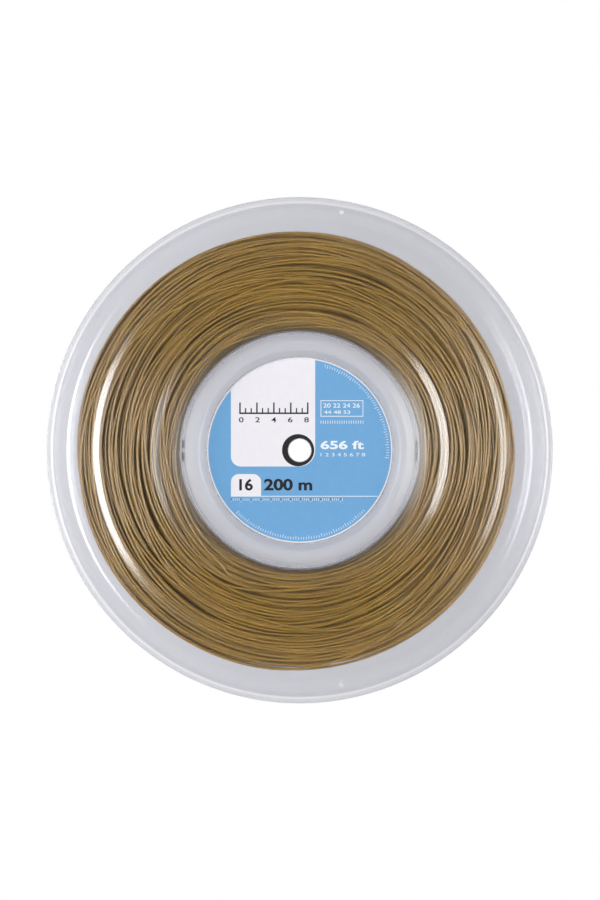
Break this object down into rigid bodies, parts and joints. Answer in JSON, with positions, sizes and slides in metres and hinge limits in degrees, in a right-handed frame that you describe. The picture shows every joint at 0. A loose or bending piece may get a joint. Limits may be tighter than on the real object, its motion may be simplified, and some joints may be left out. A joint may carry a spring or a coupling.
{
  "type": "string reel",
  "caption": "Round clear plastic reel of two flanged halves, wound with a long racket string, with a round label in the hub well.",
  "frame": {"origin": "centre of the reel's rear rim plane, on the axis of the spindle bore, at the lowest point as the reel lies flat", "axes": "+Z along the reel's axis out of the labelled front face, +X to the picture's right, +Y to its top"},
  "size_m": [0.254, 0.254, 0.027],
  "materials": {
    "clear_plastic": "clear moulded polystyrene, glossy and slightly milky",
    "label_print": "coated paper label, light blue print, satin",
    "string": "gold-brown monofilament, glossy"
  },
  "bodies": {
    "root": {"front_half": "clear_plastic", "rear_half": "clear_plastic", "front_label": "label_print", "winding_core": "string", "outer_turns": "string", "string_inner_end": "string"}
  },
  "joints": []
}
